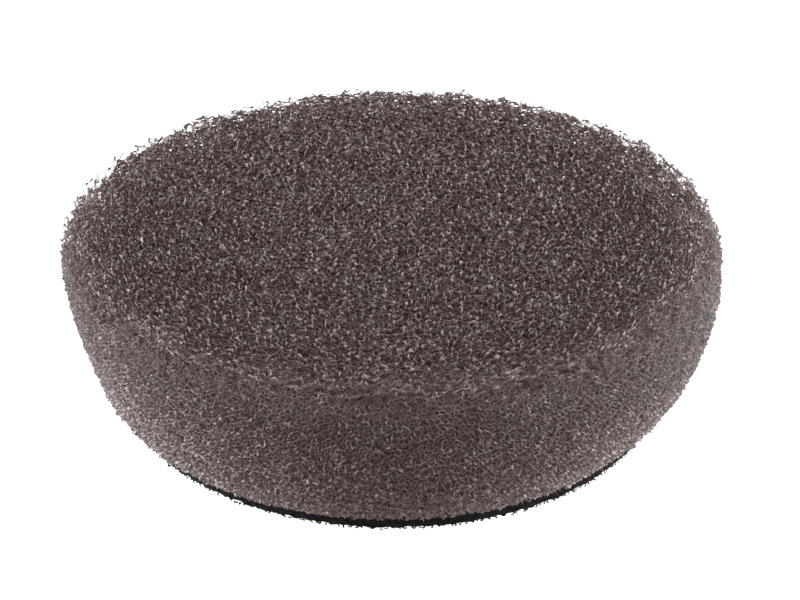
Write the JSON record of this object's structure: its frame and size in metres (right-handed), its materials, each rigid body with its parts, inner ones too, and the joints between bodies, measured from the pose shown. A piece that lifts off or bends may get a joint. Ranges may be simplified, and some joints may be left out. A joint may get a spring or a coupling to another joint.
{
  "type": "polishing pad",
  "caption": "Round open-cell foam polishing pad, wider at its flat face, with convex sides and a thin black loop-fabric backing.",
  "frame": {"origin": "centre of the loop face, the flat underside that presses onto the machine's plate", "axes": "+Z is the pad's axis of symmetry, from the loop face to the working face; X and Y are any two directions across the pad"},
  "size_m": [0.091, 0.091, 0.025],
  "materials": {
    "foam": "open-cell reticulated polyurethane foam, dark taupe brown",
    "film": "hot-melt adhesive film, satin dark grey",
    "cloth": "black knitted nylon ground cloth",
    "loops": "black brushed nylon loops"
  },
  "bodies": {
    "root": {"foam_body": "foam", "adhesive_film": "film", "backing_cloth": "cloth", "loop_pile": "loops"}
  },
  "joints": []
}
